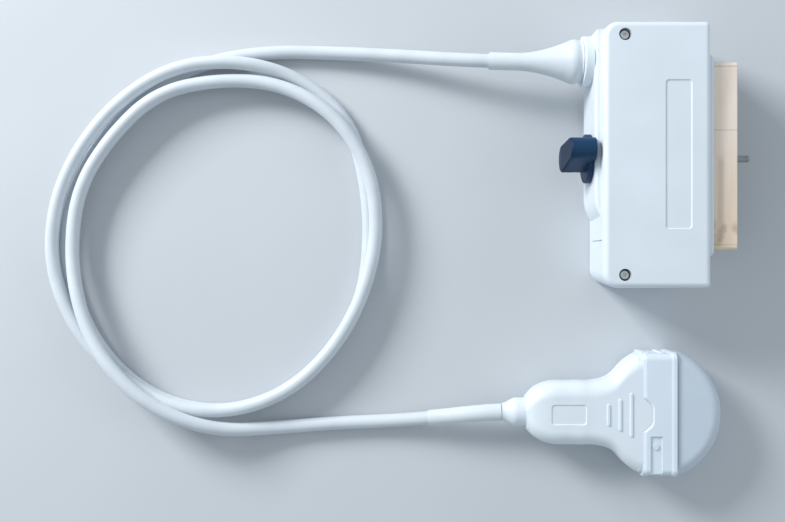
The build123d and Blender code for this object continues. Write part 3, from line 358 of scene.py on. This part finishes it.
def wrapped_cores():
    """Bundle of fine cores under a spiral wrap."""
    material, tree, shader = new_material("cores", (0.55, 0.55, 0.52), 0.6)
    wave = tree.nodes.new("ShaderNodeTexWave")
    wave.inputs["Scale"].default_value = 260.0
    wave.inputs["Distortion"].default_value = 1.5
    tree.links.new(object_coordinates(tree), wave.inputs["Vector"])
    colored(tree, shader, wave.outputs["Fac"], [(0.2, (0.4, 0.4, 0.38)), (0.8, (0.62, 0.62, 0.6))])
    bump(tree, shader, wave.outputs["Fac"], depth=0.1, strength=0.6)
    return material


def floor_paper():
    """Pale matte floor with barely seen clouds of tone."""
    material, tree, shader = new_material("floor", (0.60, 0.62, 0.65), 0.85)
    colored(tree, shader, noise(tree, per_metre=6.0, detail=3.0),
            [(0.3, (0.59, 0.61, 0.64)), (0.7, (0.615, 0.635, 0.665))])
    return material


# The boots, the cable jacket and the nose carry the same painted blue cast in their colours
boot_rubber = soft_rubber("boot_rubber", (0.725, 0.775, 0.82), 0.44)
dull_steel = turned_steel("dull_steel", (0.40, 0.41, 0.42), 0.38)
bright_steel = turned_steel("bright_steel", (0.86, 0.87, 0.88), 0.46)
finishes = {
    "shell": moulded("shell", SHELL_COLOR, 0.38),
    "nose": moulded("nose", (0.735, 0.80, 0.875), 0.40),
    "lens": lens_rubber(),
    "jacket": soft_rubber("jacket", (0.67, 0.715, 0.765), 0.46),
    "layer": moulded("layer", (0.25, 0.14, 0.06), 0.35, tone=0.08),
    "ceramic": moulded("ceramic", (0.56, 0.48, 0.30), 0.30, tone=0.05),
    "backing": moulded("backing", (0.02, 0.02, 0.02), 0.6, tone=0.2),
    "bare_aluminium": turned_steel("bare_aluminium", (0.75, 0.75, 0.76), 0.35),
    "flex": moulded("flex", (0.45, 0.16, 0.03), 0.28, tone=0.08),
    "board": circuit_board(),
    "black_plastic": moulded("black_plastic", (0.015, 0.015, 0.016), 0.45, tone=0.2),
    "cores": wrapped_cores(),
    "shell_metal": plated_shell(),
    "insulator": moulded("insulator", (0.035, 0.035, 0.04), 0.5, tone=0.15),
    "contact_metal": turned_steel("contact_metal", (0.83, 0.58, 0.22), 0.28),
    "steel": turned_steel("steel", (0.62, 0.62, 0.63), 0.3),
    "bronze": turned_steel("bronze", (0.45, 0.28, 0.12), 0.45),
    "dark_plastic": lever_plastic(),
}
special_finishes = {
    "top_cover": cover_plastic(),
    "connector_boot": boot_rubber,
    "handle_boot": boot_rubber,
    "lever_shaft": dull_steel,
    "cover_screw_upper": bright_steel,
    "cover_screw_lower": bright_steel,
}


def dress_nodes():
    """Gives every CAD node the finish of its slot, and a few their own kind of it."""
    for part in frame["record"]["subparts"]:
        finish = special_finishes.get(part["node"], finishes[part["material_slot"]])
        for slot in nodes[part["node"]].material_slots:
            slot.material = finish


def make_cable():
    """Jacketed cable as one smooth round line from the connector to the scanhead."""
    curve = bpy.data.curves.new("cable_jacket", "CURVE")
    curve.dimensions = "3D"
    curve.bevel_depth = CABLE_DIAMETER / 2 * MM
    curve.bevel_resolution = 8
    curve.resolution_u = 16
    curve.use_fill_caps = True
    spline = curve.splines.new("NURBS")
    spline.points.add(len(CABLE_ROUTE) - 1)
    for point, place in zip(spline.points, CABLE_ROUTE):
        point.co = (*(value * MM for value in place), 1.0)
    spline.order_u = 3
    spline.use_endpoint_u = True
    cable = bpy.data.objects.new("cable_jacket", curve)
    bpy.context.collection.objects.link(cable)
    curve.materials.append(finishes["jacket"])
    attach(cable, "probe")
    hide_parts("cable")


def make_floor():
    """Pale floor, wide enough for every view."""
    bpy.ops.mesh.primitive_plane_add(size=FLOOR_SIDE, location=(0, 0, 0))
    floor = bpy.context.object
    floor.name = "floor"
    floor.data.materials.append(floor_paper())


def area_light(name, place, side, power, color):
    """Soft square light that points at the middle of the picture."""
    light = bpy.data.lights.new(name, "AREA")
    light.shape = "SQUARE"
    light.size = side
    light.energy = power
    light.color = color
    lamp = bpy.data.objects.new(name, light)
    bpy.context.collection.objects.link(lamp)
    lamp.location = place
    lamp.rotation_euler = (Vector(LIGHT_TARGET) - Vector(place)).to_track_quat("-Z", "Y").to_euler()


def make_lights():
    """Soft key from the upper left, a weak fill from the right and pale surroundings."""
    area_light("key", *KEY_LIGHT)
    area_light("fill", *FILL_LIGHT)
    world = bpy.data.worlds.new("surroundings")
    bpy.context.scene.world = world
    world.use_nodes = True
    background = world.node_tree.nodes["Background"]
    background.inputs["Color"].default_value = (*SURROUNDINGS_COLOR, 1.0)
    background.inputs["Strength"].default_value = SURROUNDINGS_STRENGTH
    bpy.context.scene.view_settings.view_transform = "Standard"


def make_camera():
    """Camera straight above the floor, at the photograph's height and scale."""
    camera = bpy.data.cameras.new("camera")
    camera.sensor_width = SENSOR_WIDTH
    camera.lens = SENSOR_WIDTH * CAMERA_HEIGHT / (IMAGE_WIDTH * FLOOR_SCALE)
    camera.clip_start = NEAREST_SEEN
    holder = bpy.data.objects.new("camera", camera)
    bpy.context.collection.objects.link(holder)
    holder.location = (*CAMERA_PLACE, CAMERA_HEIGHT)
    bpy.context.scene.camera = holder


dress_nodes()
make_cable()
make_floor()
make_lights()
make_camera()
